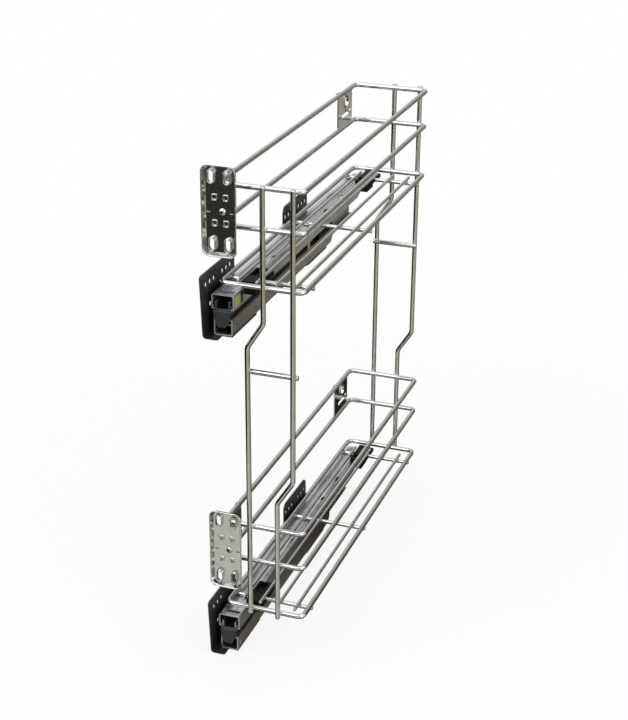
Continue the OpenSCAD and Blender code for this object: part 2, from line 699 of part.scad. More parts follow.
fixed_channel(0);  // lower_fixed_channel
fixed_channel(1);  // upper_fixed_channel
soft_close_unit(0);  // lower_soft_close_unit
soft_close_unit(1);  // upper_soft_close_unit
front_wall_bracket(0);  // lower_front_wall_bracket
front_wall_bracket(1);  // upper_front_wall_bracket
rear_wall_bracket(0);  // lower_rear_wall_bracket
rear_wall_bracket(1);  // upper_rear_wall_bracket
rivets(0);  // lower_rivets
rivets(1);  // upper_rivets
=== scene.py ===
"""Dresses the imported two-tier pull-out: plated wires and welds, pressed brackets, ball runners."""

import math

import bmesh
import bpy
from mathutils import Matrix, Vector


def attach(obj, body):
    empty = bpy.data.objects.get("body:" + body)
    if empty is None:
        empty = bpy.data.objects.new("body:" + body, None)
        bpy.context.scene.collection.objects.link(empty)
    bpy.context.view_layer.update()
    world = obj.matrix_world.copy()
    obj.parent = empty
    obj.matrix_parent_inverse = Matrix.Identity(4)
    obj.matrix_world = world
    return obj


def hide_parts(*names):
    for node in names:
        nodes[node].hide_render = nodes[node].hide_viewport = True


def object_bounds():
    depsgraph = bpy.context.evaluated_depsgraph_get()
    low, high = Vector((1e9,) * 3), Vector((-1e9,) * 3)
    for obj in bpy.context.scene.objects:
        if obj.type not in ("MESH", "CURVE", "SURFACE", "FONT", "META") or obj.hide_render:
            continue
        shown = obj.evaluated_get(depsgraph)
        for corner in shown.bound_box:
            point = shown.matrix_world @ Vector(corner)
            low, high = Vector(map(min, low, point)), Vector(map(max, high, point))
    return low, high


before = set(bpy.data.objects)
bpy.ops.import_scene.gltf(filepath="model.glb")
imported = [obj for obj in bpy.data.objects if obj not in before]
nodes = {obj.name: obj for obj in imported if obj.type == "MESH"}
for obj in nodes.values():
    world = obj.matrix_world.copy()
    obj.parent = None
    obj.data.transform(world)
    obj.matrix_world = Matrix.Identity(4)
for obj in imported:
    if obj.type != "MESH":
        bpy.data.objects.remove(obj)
cad_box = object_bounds()
scene = bpy.context.scene
MM = 0.001


# ---------- sizes of the part, in millimetres, as its source drives them ----------

# tiers and the rails of a tier, by their height
TIERS = {"lower": 0.0, "upper": 412.0}
LEVELS = {"bottom": 0.0, "middle": 66.5, "top": 112.5}
RAIL_X, RAIL_Y, RAIL_Z = 11.0, -17.0, -2.3
BASKET_W, BASKET_D = 97.0, 460.0
RIGHT_X, BACK_Y = RAIL_X + BASKET_W, RAIL_Y + BASKET_D
CORNER_R = 7.0

# wires, and the depth to which they sink into each other at a weld
RAIL_D, CROSS_D, FLOOR_D = 6.0, 5.0, 4.0
WELD_SINK = 0.3
CROSS_Z = RAIL_Z - (RAIL_D + CROSS_D) / 2 + WELD_SINK
CROSS_Y = (RAIL_Y + 30, RAIL_Y + BASKET_D / 2 + 3, BACK_Y - 28)
CROSS_X = (RAIL_X - 2.2, RIGHT_X + 2.2)
FLOOR_Z = CROSS_Z + (CROSS_D + FLOOR_D) / 2 - WELD_SINK
FLOOR_Y = (RAIL_Y + 12.7, BACK_Y - 15)
WIRE_GAP = 22.2
FLOOR_X = [(RAIL_X + RIGHT_X) / 2 + (i - 1.5) * WIRE_GAP for i in range(4)]

# uprights: the jog is two bends with a slanting run between them
JOG_SIN, JOG_COS = 0.5376, 0.8432
JOG_R, SLANT = 12.0, 28.9
JOG_W = 2 * JOG_R * (1 - JOG_COS) + SLANT * JOG_SIN
JOG_H = 2 * JOG_R * JOG_SIN + SLANT * JOG_COS
JOG_CORNER = JOG_H / 2 - JOG_R * math.tan(math.asin(JOG_SIN) / 2)
UPRIGHT_OFF = RAIL_D - WELD_SINK
UPRIGHT_X, UPRIGHT_GAP = RAIL_X + 87, 34.5
UPRIGHT_TOP = RAIL_Z + TIERS["upper"] + LEVELS["top"] + RAIL_D / 2 + 0.8
# of each pair: place across above its jog, and the jog's middle height
UPRIGHTS = {"left": (UPRIGHT_X - UPRIGHT_GAP, TIERS["upper"] - 57.5), "right": (UPRIGHT_X, 164.0)}
# of each end: the rails' place, the way out, and the height of the uprights' feet
ENDS = {"front": (RAIL_Y, -1, RAIL_Z - 4.7), "rear": (BACK_Y, 1, RAIL_Z - 1.7)}
TIE_X = (UPRIGHT_X - JOG_W - UPRIGHT_GAP - 3.5, UPRIGHT_X + 4.5)
TIE_Z = RAIL_Z + 310.8

# door brackets and the plates that carry them; the rim's lean is its slope per depth
SHEET = 1.5
DOOR_X, DOOR_Z, DOOR_BACK = 23.6, RAIL_Z + LEVELS["top"] - 21.6, RAIL_Y - 23.4
RIM_LEAN, RIM_DEPTH = 0.44, 5.5
DOOR_W, DOOR_H = 40.7 - 2 * RIM_LEAN * RIM_DEPTH, 102 - 2 * RIM_LEAN * RIM_DEPTH
DOOR_R = 6.6
SIDE_PLATE_T = 1.5
FLANGE_Y = (DOOR_BACK - 0.2, RAIL_Y + 36)
FLANGE_H, FLANGE_R = 28.0, 3.0
FLANGE_X = RAIL_X - SIDE_PLATE_T / 2
SCREW_Y, SCREW_Z = (RAIL_Y + 16, RAIL_Y + 31), RAIL_Z + LEVELS["top"] - 30.5
PLATE_SCREW = (DOOR_X + 2.7, -1.0)

# moving runner member: its middle across, its width and its outer wall
RUNNER_X, RUNNER_W = 20.0, 26.5
RUNNER_WALL_X = RUNNER_X + RUNNER_W / 2


# ---------- materials ----------


def linear(hex_colour):
    """sRGB hex to a linear RGBA colour."""
    values = [int(hex_colour[i : i + 2], 16) / 255 for i in (1, 3, 5)]
    return [v / 12.92 if v <= 0.04045 else ((v + 0.055) / 1.055) ** 2.4 for v in values] + [1]


def add(tree, kind, inputs=(), stops=(), **settings):
    """Adds a node. Inputs are (name or index, value or socket) pairs. Stops are the (place, sRGB
    hex) pairs of a colour ramp."""
    made = tree.nodes.new(kind)
    for name, value in settings.items():
        setattr(made, name, value)
    for name, value in inputs:
        if isinstance(value, bpy.types.NodeSocket):
            tree.links.new(value, made.inputs[name])
        else:
            made.inputs[name].default_value = value
    if stops:
        bar = made.color_ramp
        while len(bar.elements) < len(stops):
            bar.elements.new(0.5)
        for element, (place, colour) in zip(bar.elements, stops):
            element.position = place
            element.color = linear(colour)
    return made


def new_material(name, **values):
    """A material and its shader, with the shader's own sockets set by name."""
    made = bpy.data.materials.new(name)
    made.use_nodes = True
    shader = made.node_tree.nodes["Principled BSDF"]
    for key, value in values.items():
        shader.inputs[key.replace("_", " ")].default_value = value
    return made, shader


def pattern(shader, *sizes, detail=3.0):
    """A soft random pattern, 0 to 1, with features as large as the sizes, in mm, along X, Y and Z.
    One size stands for all three."""
    tree = shader.id_data
    place = add(tree, "ShaderNodeTexCoord").outputs["Object"]
    scale = [1 / (MM * size) for size in (sizes * 3)[:3]]
    scaled = add(tree, "ShaderNodeMapping", [("Vector", place), ("Scale", scale)])
    return add(tree, "ShaderNodeTexNoise", [
        ("Vector", scaled.outputs["Vector"]), ("Scale", 1.0), ("Detail", detail)
    ]).outputs["Fac"]


def dress(shader, colours, tone, gloss=None, span=(0, 1), relief=None, strength=0.0, depth_mm=0.0):
    """Lets patterns drive a surface: tone runs between its two colours, gloss moves its roughness
    over a span, and relief raises and sinks it by up to the depth."""
    tree = shader.id_data
    shade = add(tree, "ShaderNodeValToRGB", [("Fac", tone)], list(zip((0.3, 0.7), colours)))
    tree.links.new(shade.outputs["Color"], shader.inputs["Base Color"])
    if gloss is not None:
        rough = add(tree, "ShaderNodeMapRange", [
            ("Value", gloss), ("To Min", span[0]), ("To Max", span[1])
        ])
        tree.links.new(rough.outputs["Result"], shader.inputs["Roughness"])
    if relief is not None:
        raised = add(tree, "ShaderNodeBump", [
            ("Height", relief), ("Strength", strength), ("Distance", depth_mm * MM)
        ])
        tree.links.new(raised.outputs["Normal"], shader.inputs["Normal"])


def plated(name, *colours, rough, wave_mm, wave):
    """Bright plating over drawn wire or pressed sheet. The eye sees a clear mirror whose pictures
    sway a little, because the metal under it isn't quite even."""
    made, shader = new_material(name, Metallic=1.0, Roughness=rough)
    dress(shader, colours, pattern(shader, 9), pattern(shader, 2.5), (rough * 0.6, rough * 1.5),
          pattern(shader, wave_mm, detail=2.0), wave, 0.4)
    return made


def rolled_steel(name, *colours, rough, streak_mm=0.7):
    """Plated strip, rolled lengthwise. The eye sees soft streaks along Y over faint cloudy patches.
    Real streaks are about 0.1 mm wide and wouldn't show, so they are drawn 0.7 to 2.2 mm wide."""
    made, shader = new_material(name, Metallic=1.0, Roughness=rough)
    streaks = pattern(shader, streak_mm, 60, streak_mm, detail=4.0)
    patches = pattern(shader, 14, 45, 14, detail=2.0)
    both = add(shader.id_data, "ShaderNodeMath", [(0, streaks), (1, patches)], operation="ADD")
    half = add(shader.id_data, "ShaderNodeMath", [(0, both.outputs["Value"]), (1, 0.5)],
               operation="MULTIPLY")
    dress(shader, colours, half.outputs["Value"], patches, (rough * 0.8, rough * 1.25),
          streaks, 0.12, 0.05)
    return made


def moulded(name, *colours, rough, **values):
    """Moulded plastic. The eye sees a dull sheen, broken by the grain of the spark-eroded mould.
    Real grain is about 0.1 mm and wouldn't show, so it is drawn at 0.6 mm."""
    made, shader = new_material(name, Roughness=rough, IOR=1.5, **values)
    grain = pattern(shader, 0.6, detail=4.0)
    dress(shader, colours, pattern(shader, 12), grain, (rough * 0.85, rough * 1.15), grain, 0.25, 0.05)
    return made


def powder_coat(name, *colours):
    """Powder baked on steel. The eye sees satin black with a soft orange peel, 1.2 mm across."""
    made, shader = new_material(name, IOR=1.5)
    peel = pattern(shader, 1.2, detail=1.5)
    dress(shader, colours, pattern(shader, 20), peel, (0.32, 0.46), peel, 0.3, 0.12)
    return made


def vinyl(name, *colours, rough):
    """Printed vinyl film. The eye sees an even colour with a slight cloud and a soft gloss."""
    made, shader = new_material(name, Roughness=rough, IOR=1.5)
    dress(shader, colours, pattern(shader, 3))
    return made


# drawn wire: long straight pictures of the room, with a very slow sway
CHROME_WIRE = plated("chrome plated wire", "#bebfbd", "#cccdca", rough=0.11, wave_mm=12, wave=0.012)
# weld bead: the same plating over ripples, so its mirror breaks up
CHROME_WELD = plated("chrome plated weld", "#bbbcba", "#cccdca", rough=0.15, wave_mm=1.6, wave=0.22)
# pressed sheet: flat, slightly milky mirrors
CHROME_SHEET = plated("chrome plated pressing", "#c4c5c2", "#d0d1ce", rough=0.13, wave_mm=22,
                      wave=0.015)
# polished steel: small hard mirrors
BEARING_STEEL = plated("bearing steel", "#cfd0d1", "#dedfe0", rough=0.06, wave_mm=3, wave=0.02)
# tumbled zinc: a bright, faintly warm mirror with soft dents
ZINC_SCREW = plated("bright zinc fastener", "#c9c8c2", "#dddcd6", rough=0.18, wave_mm=2, wave=0.10)
# painted shade: a recess is drawn in dark, dull zinc for the shade that falls in it
ZINC_RECESS_SHADE = plated("dull zinc inside a recess", "#3c3c3a", "#4c4c4a", rough=0.4, wave_mm=2, wave=0.05)
# painted light: open to the light, this member gets a lighter copy of the zinc, silvery blue; its
# lengthwise bands are the strip's own streaks
ZINC_TOP_LIT = rolled_steel("zinc plated strip, moving member", "#8d9299", "#f8f9fb", rough=0.34,
                        streak_mm=2.2)
# painted shade: inside the runner the same zinc is drawn a shade darker and greyer
ZINC_MIDDLE_SHADED = rolled_steel("zinc plated strip, middle member", "#8d9096", "#a3a6ab", rough=0.32)
# yellowish passivation: warm grey
ZINC_FIXED = rolled_steel("passivated strip, fixed channel", "#a39e93", "#b7b2a7", rough=0.34)
# cut across: pale, with no gloss
ZINC_CUT = rolled_steel("sheared edge of the strip", "#c9c9c6", "#dededb", rough=0.5)
# black acetal hardly shines
BLACK_PLASTIC = moulded("black acetal", "#09090b", "#101012", rough=0.55, Specular_IOR_Level=0.12)
# dark grey acetal: a soft highlight on each broad face
NOSE_PLASTIC = moulded("dark grey acetal", "#222429", "#2c2e34", rough=0.48)
# unpigmented nylon: milky
CAGE_PLASTIC = moulded("natural nylon", "#b9b8b2", "#c9c8c3", rough=0.5)
# thick satin coat on the wall brackets
BLACK_COAT = powder_coat("black powder coat", "#1a1b20", "#24262b")
# film on the runner's front end, dull yellow with a dark end
VINYL = vinyl("plain yellow vinyl", "#8f8a3c", "#a39e4e", rough=0.35)
VINYL_DARK = vinyl("dark edge of the vinyl", "#1d1d1b", "#2a2a27", rough=0.4)


# ---------- pieces ----------


def piece(name, mesh, body, replaced=()):
    """A finished mesh in the row frame becomes a piece that rides on its body."""
    made = bpy.data.objects.new(name, mesh)
    scene.collection.objects.link(made)
    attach(made, body)
    if replaced:
        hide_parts(*replaced)


def linked(name, data):
    """A working object that is in the scene but isn't a piece yet."""
    made = bpy.data.objects.new(name, data)
    scene.collection.objects.link(made)
    return made


def evaluated(source, name):
    """The plain mesh of an object with its modifiers applied; the object itself is dropped."""
    bpy.context.view_layer.update()
    graph = bpy.context.evaluated_depsgraph_get()
    mesh = bpy.data.meshes.new_from_object(source.evaluated_get(graph))
    mesh.name = name
    bpy.data.objects.remove(source)
    return mesh


def as_mesh(work, name, *materials):
    """Ends a piece of mesh work and gives back its mesh with its materials."""
    mesh = bpy.data.meshes.new(name)
    work.to_mesh(mesh)
    work.free()
    for material in materials:
        mesh.materials.append(material)
    return mesh


def shaded(mesh, sharp_from):
    """Smooth shading that breaks at edges steeper than an angle in degrees."""
    for polygon in mesh.polygons:
        polygon.use_smooth = True
    mesh.set_sharp_from_angle(angle=math.radians(sharp_from))


def geometry_tree(name, *sizes):
    """A Geometry Nodes tree with a geometry input, named sizes and a material, and its output."""
    tree = bpy.data.node_groups.new(name, "GeometryNodeTree")
    faces = tree.interface
    faces.new_socket("Geometry", in_out="INPUT", socket_type="NodeSocketGeometry")
    for size, value in sizes:
        kind = "NodeSocketInt" if isinstance(value, int) else "NodeSocketFloat"
        faces.new_socket(size, in_out="INPUT", socket_type=kind).default_value = value
    faces.new_socket("Material", in_out="INPUT", socket_type="NodeSocketMaterial")
    faces.new_socket("Geometry", in_out="OUTPUT", socket_type="NodeSocketGeometry")
    return tree, add(tree, "NodeGroupInput"), add(tree, "NodeGroupOutput")


def finish_tree(tree, given, output, geometry):
    """Ends a tree: real geometry, smooth, in the material that it was given."""
    real = add(tree, "GeometryNodeRealizeInstances", [("Geometry", geometry)])
    smooth = add(tree, "GeometryNodeSetShadeSmooth", [("Geometry", real.outputs["Geometry"])])
    painted = add(tree, "GeometryNodeSetMaterial", [
        ("Geometry", smooth.outputs["Geometry"]), ("Material", given.outputs["Material"])
    ])
    tree.links.new(painted.outputs["Geometry"], output.inputs["Geometry"])


def grown(tree, base, name, material, sizes):
    """Runs a tree on base data, with its inputs set by name, and gives back the plain mesh."""
    source = linked(name, base)
    modifier = source.modifiers.new(name, "NODES")
    modifier.node_group = tree
    for item in tree.interface.items_tree:
        if item.in_out == "INPUT" and item.name in sizes:
            modifier[item.identifier] = sizes[item.name]
        elif item.in_out == "INPUT" and item.name == "Material":
            modifier[item.identifier] = material
    mesh = evaluated(source, name)
    mesh.set_sharp_from_angle(angle=math.radians(40))
    return mesh


# ---------- wires ----------

WIRE_TREE, given, output = geometry_tree("wire along a path", ("Diameter", 0.006), ("Sides", 28))
half = add(WIRE_TREE, "ShaderNodeMath", [(0, given.outputs["Diameter"]), (1, 0.5)],
           operation="MULTIPLY")
ring = add(WIRE_TREE, "GeometryNodeCurvePrimitiveCircle", [
    ("Resolution", given.outputs["Sides"]), ("Radius", half.outputs["Value"])
])
thinned = add(WIRE_TREE, "GeometryNodeInputRadius")
swept = add(WIRE_TREE, "GeometryNodeCurveToMesh", [
    ("Curve", given.outputs["Geometry"]), ("Profile Curve", ring.outputs["Curve"]),
    ("Scale", thinned.outputs["Radius"]), ("Fill Caps", True)
])
finish_tree(WIRE_TREE, given, output, swept.outputs["Mesh"])

# a station this near to a bend or a tip keeps the shading of the straight run straight
NEAR = 0.8
# a cut end is rounded over 1 mm: (distance from the tip, share of the radius)
TIP = ((0.0, 0.55), (0.18, 0.78), (0.5, 0.93), (1.0, 1.0), (1.0 + NEAR, 1.0))


def path_points(corners, radius, closed=False, step=9):
    """Points of a path through the corners, each rounded with the radius in steps of so many
    degrees."""
    points = []
    count = len(corners)
    for i, corner in enumerate(corners):
        corner = Vector(corner)
        if not closed and i in (0, count - 1):
            points.append(corner)
            continue
        before = (Vector(corners[i - 1]) - corner).normalized()
        after = (Vector(corners[(i + 1) % count]) - corner).normalized()
        angle = math.pi - before.angle(after)
        setback = radius * math.tan(angle / 2)
        centre = corner + (before + after).normalized() * (radius / math.cos(angle / 2))
        start, end = corner + before * setback - centre, corner + after * setback - centre
        turns = max(4, round(math.degrees(angle) / step))
        points.append(centre + start + before * NEAR)
        for k in range(turns + 1):
            points.append(centre + start.slerp(end, k / turns) * radius)
        points.append(centre + end + after * NEAR)
    return points


def cut_end(tip, inner):
    """Stations of a cut end, from its tip inwards."""
    way = (inner - tip).normalized()
    return [(tip + way * distance, share) for distance, share in TIP]


def wire_curve(name, paths):
    """Curve data of one or more wires, each (points, closed)."""
    curve = bpy.data.curves.new(name, "CURVE")
    curve.dimensions = "3D"
    for points, closed in paths:
        stations = [(point, 1.0) for point in points]
        if not closed:
            stations = (cut_end(points[0], points[1]) + stations[1:-1]
                        + cut_end(points[-1], points[-2])[::-1])
        spline = curve.splines.new("POLY")
        spline.points.add(len(stations) - 1)
        spline.use_cyclic_u = closed
        for point, (place, radius) in zip(spline.points, stations):
            point.co = (*(place * MM), 1)
            point.radius = radius
    return curve


def wire_piece(node, paths, diameter):
    name = node + "_plated"
    mesh = grown(WIRE_TREE, wire_curve(node, paths), name, CHROME_WIRE, {"Diameter": diameter * MM})
    piece(name, mesh, "basket", [node])


def bar(start, end):
    """A straight wire, in stretches of about 40 mm."""
    start, end = Vector(start), Vector(end)
    count = max(2, round((end - start).length / 40))
    return [start.lerp(end, i / count) for i in range(count + 1)], False


def upright(x, y, jog_z, foot):
    """An upright at x above its jog, and further left by the jog's width below it."""
    corners = [(x, y, UPRIGHT_TOP), (x, y, jog_z + JOG_CORNER),
               (x - JOG_W, y, jog_z - JOG_CORNER), (x - JOG_W, y, foot)]
    return path_points(corners, JOG_R, step=5), False


for tier, base in TIERS.items():
    for level, height in LEVELS.items():
        z = base + RAIL_Z + height
        corners = [(RAIL_X, RAIL_Y, z), (RIGHT_X, RAIL_Y, z), (RIGHT_X, BACK_Y, z),
                   (RAIL_X, BACK_Y, z)]
        wire_piece(f"{tier}_{level}_rail", [(path_points(corners, CORNER_R, True), True)], RAIL_D)
    z = base + CROSS_Z
    wire_piece(f"{tier}_cross_bars", [bar((CROSS_X[0], y, z), (CROSS_X[1], y, z)) for y in CROSS_Y],
               CROSS_D)
    z = base + FLOOR_Z
    wire_piece(f"{tier}_floor_wires", [bar((x, FLOOR_Y[0], z), (x, FLOOR_Y[1], z)) for x in FLOOR_X],
               FLOOR_D)
for end, (rail_y, out, foot) in ENDS.items():
    for side, (x, jog_z) in UPRIGHTS.items():
        wire_piece(f"{end}_{side}_upright", [upright(x, rail_y + out * UPRIGHT_OFF, jog_z, foot)],
                   RAIL_D)
for end, (rail_y, out, foot) in ENDS.items():
    wire_piece(f"{end}_tie_bar", [bar((TIE_X[0], rail_y, TIE_Z), (TIE_X[1], rail_y, TIE_Z))], RAIL_D)


# ---------- weld beads where wires cross ----------

WELD_TREE, given, output = geometry_tree("weld beads on points", ("Bead Radius", 0.0026),
                                         ("Flatness", 0.6), ("Seed", 7))
blob = add(WELD_TREE, "GeometryNodeMeshIcoSphere", [
    ("Radius", given.outputs["Bead Radius"]), ("Subdivisions", 3)
])
uneven = add(WELD_TREE, "FunctionNodeRandomValue", [
    (0, (0.85, 0.85, 0.85)), (1, (1.15, 1.15, 1.15)), ("Seed", given.outputs["Seed"])
], data_type="FLOAT_VECTOR")
flat = add(WELD_TREE, "ShaderNodeCombineXYZ", [
    ("X", 1.0), ("Y", given.outputs["Flatness"]), ("Z", 1.0)
])
sizes = add(WELD_TREE, "ShaderNodeVectorMath", [
    (0, uneven.outputs["Value"]), (1, flat.outputs["Vector"])
], operation="MULTIPLY")
beads = add(WELD_TREE, "GeometryNodeInstanceOnPoints", [
    ("Points", given.outputs["Geometry"]), ("Instance", blob.outputs["Mesh"]),
    ("Scale", sizes.outputs["Vector"])
])
finish_tree(WELD_TREE, given, output, beads.outputs["Instances"])

# beads under the floor are pressed towards this height, to a share of their own
FLOOR_BEAD_Z, FLOOR_BEAD_SHARE = CROSS_Z + 2.4, 0.7


def point_mesh(name, points):
    mesh = bpy.data.meshes.new(name)
    mesh.from_pydata([Vector(point) * MM for point in points], [], [])
    return mesh


rail_heights = [base + RAIL_Z + height for base in TIERS.values() for height in LEVELS.values()]
on_uprights = [(x if z > jog_z else x - JOG_W, rail_y + out * UPRIGHT_OFF / 2, z)
               for rail_y, out, foot in ENDS.values() for x, jog_z in UPRIGHTS.values()
               for z in rail_heights + [TIE_Z]]
mesh = grown(WELD_TREE, point_mesh("upright crossings", on_uprights), "upright_weld_beads",
             CHROME_WELD, {"Bead Radius": 3.0 * MM, "Flatness": 0.62})
piece("upright_weld_beads", mesh, "basket")

on_floor = []
for base in TIERS.values():
    for y in CROSS_Y:
        on_floor += [(x, y, base + CROSS_Z + CROSS_D / 2) for x in (RAIL_X, RIGHT_X)]
        on_floor += [(x, y, base + CROSS_Z + CROSS_D / 2 - WELD_SINK) for x in FLOOR_X]
mesh = grown(WELD_TREE, point_mesh("floor crossings", on_floor), "floor_weld_beads",
             CHROME_WELD, {"Bead Radius": 2.3 * MM, "Flatness": 1.0, "Seed": 11})
for vertex in mesh.vertices:
    upper = vertex.co.z > TIERS["upper"] / 2 * MM
    near = (FLOOR_BEAD_Z + TIERS["upper"] * upper) * MM
    vertex.co.z = near + (vertex.co.z - near) * FLOOR_BEAD_SHARE
piece("floor_weld_beads", mesh, "basket")


# ---------- softened copies of the solids ----------


def softened(node, radius, material, body, cut=None):
    """A copy of a solid with its edges broken by a small radius, as a press or a mould leaves.
    Faces across the length can have a finish of their own, for sheared ends."""
    name = node + "_finished"
    work = bmesh.new()
    work.from_mesh(nodes[node].data)
    bmesh.ops.remove_doubles(work, verts=work.verts, dist=0.002 * MM)
    bmesh.ops.dissolve_limit(work, angle_limit=math.radians(0.5), verts=work.verts,
                             edges=work.edges, delimit={"NORMAL"})
    source = linked(node + "_work", as_mesh(work, name))
    source.data.materials.clear()
    source.data.materials.append(material)
    bevel = source.modifiers.new("edge", "BEVEL")
    bevel.width = radius * MM
    bevel.segments = 2
    bevel.limit_method = "ANGLE"
    bevel.angle_limit = math.radians(30)
    bevel.use_clamp_overlap = True
    source.modifiers.new("flat faces stay flat", "WEIGHTED_NORMAL").keep_sharp = True
    shaded(source.data, 40)
    done = evaluated(source, name)
    if cut is not None:
        done.materials.append(cut)
        for polygon in done.polygons:
            polygon.material_index = int(abs(polygon.normal.y) > 0.85)
    piece(name, done, body, [node])


for tier in TIERS:
    softened(f"{tier}_drawer_member", 0.25, ZINC_TOP_LIT, "basket", ZINC_CUT)
    softened(f"{tier}_middle_member", 0.2, ZINC_MIDDLE_SHADED, f"{tier}_middle")
    softened(f"{tier}_fixed_channel", 0.25, ZINC_FIXED, "wall_side", ZINC_CUT)
    softened(f"{tier}_front_buffer", 0.5, NOSE_PLASTIC, f"{tier}_middle")
    softened(f"{tier}_soft_close_unit", 0.2, BLACK_PLASTIC, "wall_side")
    for end in ENDS:
        softened(f"{tier}_{end}_clip", 0.4, BLACK_PLASTIC, "basket")
        softened(f"{tier}_{end}_wall_bracket", 0.3, BLACK_COAT, "wall_side")
        softened(f"{tier}_{end}_side_plate", 0.2, CHROME_SHEET, "basket")
    for cage in ("top", "bottom"):
        softened(f"{tier}_tier_{cage}_cage", 0.15, CAGE_PLASTIC, f"{tier}_{cage}_cage")
        nodes[f"{tier}_tier_{cage}_balls"].data.materials[0] = BEARING_STEEL
    nodes[f"{tier}_rivets"].data.materials[0] = ZINC_SCREW


# ---------- pressed sheets with drawn collars ----------


def outline(across, up, w, h, r, grow):
    """Points of a rounded rectangle about (across, up), as many whatever its size."""
    w, h, r = w / 2 + grow, h / 2 + grow, r + grow
    points = []
    for side_u, side_v, first in ((1, 1, 0), (-1, 1, 90), (-1, -1, 180), (1, -1, 270)):
        for k in range(9):
            angle = math.radians(first + 90 * k / 8)
            points.append((across + side_u * (w - r) + r * math.cos(angle),
                           up + side_v * (h - r) + r * math.sin(angle)))
    return points


def pressed(work, place, edge, holes):
    """A sheet whose edge and holes are (outline, profile). A profile lists (growth, depth) from the
    front face round to the back face; both faces are filled between the profiles' ends. A profile
    that ends inside the sheet is a blind pocket with a floor of its own. Where a third value says
    "dull", the faces below its broken edge go into the second material, which is painted shade."""
    ends = ([], [])
    for shape, profile, *finish in [edge] + holes:
        loops = [[work.verts.new(place(u, v, depth) * MM) for u, v in outline(*shape, growth)]
                 for growth, depth in profile]
        second = int("dull" in finish)
        for step, (a, b) in enumerate(zip(loops, loops[1:])):
            for i in range(len(a)):
                wall = work.faces.new((a[i], a[i - 1], b[i - 1], b[i]))
                wall.material_index = second if step > 1 else 0
        for side, loop in zip(ends, (loops[0], loops[-1])):
            if profile[-1][1] > 0 and side is ends[1]:
                work.faces.new(loop).material_index = second
            else:
                side += [work.edges.get((loop[i - 1], loop[i])) for i in range(len(loop))]
    for side in ends:
        bmesh.ops.triangle_fill(work, edges=side, use_beauty=True)


def arc(centre, radius, first, last, steps=5):
    """Points of an arc between two angles in degrees."""
    angles = [math.radians(first + (last - first) * k / steps) for k in range(steps + 1)]
    return [(centre[0] + radius * math.cos(angle), centre[1] + radius * math.sin(angle))
            for angle in angles]


# edges are broken by EDGE, with a flat margin next to it that keeps the faces' shading flat
EDGE, MARGIN = 0.15, 0.25
BROKEN = [(EDGE + MARGIN, SHEET), (EDGE, SHEET), (0.0, SHEET - EDGE)]
PUNCHED = BROKEN + [(0.0, EDGE), (EDGE, 0.0), (EDGE + MARGIN, 0.0)]
MARK_FLOOR, NEST_FLOOR = 0.35, 0.6
SUNK = BROKEN + [(0.0, MARK_FLOOR + 0.1), (-0.1, MARK_FLOOR)]
# a sheared edge is rounded; its doubled station keeps the front face's shading flat
SHEAR_R = 0.25
SHEARED = ([(-2 * SHEAR_R, SHEET), (-SHEAR_R, SHEET)]
           + arc((-SHEAR_R, SHEET - SHEAR_R), SHEAR_R, 90, 0, 2)
           + arc((-SHEAR_R, SHEAR_R), SHEAR_R, 0, -90, 2) + [(-2 * SHEAR_R, 0.0)])


def collar(wall, height, root, behind):
    """Profile of a drawn collar: a filleted root, a rounded lip, and what is behind it."""
    top = SHEET + height
    lip = wall / 2 - 0.1
    return ([(wall + root + EDGE, SHEET)] + arc((wall + root, SHEET + root), root, 270, 180)
            + arc((wall - lip, top - lip), lip, 0, 90, 3) + arc((lip, top - lip), lip, 90, 180, 3)
            + behind)


def entry(radius):
    """A hole's rounded entry in the back face."""
    return arc((radius, radius), radius, 180, 270) + [(radius + EDGE, 0.0)]


SLOT_COLLAR = collar(1.0, 4.2, 0.2, entry(1.2))
NEST_COLLAR = collar(0.6, 1.6, 0.2, [(0.0, NEST_FLOOR + EDGE), (-EDGE, NEST_FLOOR),
                                     (-EDGE - MARGIN, NEST_FLOOR)])
BEND_R, RIM_TIP = 1.2, (1.35, 6.25)


def rim_profile():
    """Front face, bend, leaning rim, rounded tip, and back again one sheet further out."""
    turn = 90 - math.degrees(math.atan(RIM_LEAN))
    bend_end = SHEET / 2 + BEND_R * (1 - math.cos(math.radians(turn)))
    bend_x = (RIM_TIP[0] - (RIM_TIP[1] - bend_end) * RIM_LEAN
              - BEND_R * math.sin(math.radians(turn)))
    centre = (bend_x, SHEET / 2 + BEND_R)
    return ([(bend_x - MARGIN, SHEET)] + arc(centre, BEND_R - SHEET / 2, 270, 270 + turn)
            + arc(RIM_TIP, SHEET / 2, 90 + turn, turn - 90, 8)
            + arc(centre, BEND_R + SHEET / 2, 270 + turn, 270) + [(bend_x - MARGIN, 0.0)])


def in_pairs(middle, place, size, profile):
    """Four like holes, mirrored to both sides of the plate's middle and above and below it."""
    return [((DOOR_X + sx * place[0], middle + sz * place[1], *size), profile)
            for sx in (-1, 1) for sz in (-1, 1)]


# ---------- door brackets: trays with a flange that is screwed to the side plate ----------

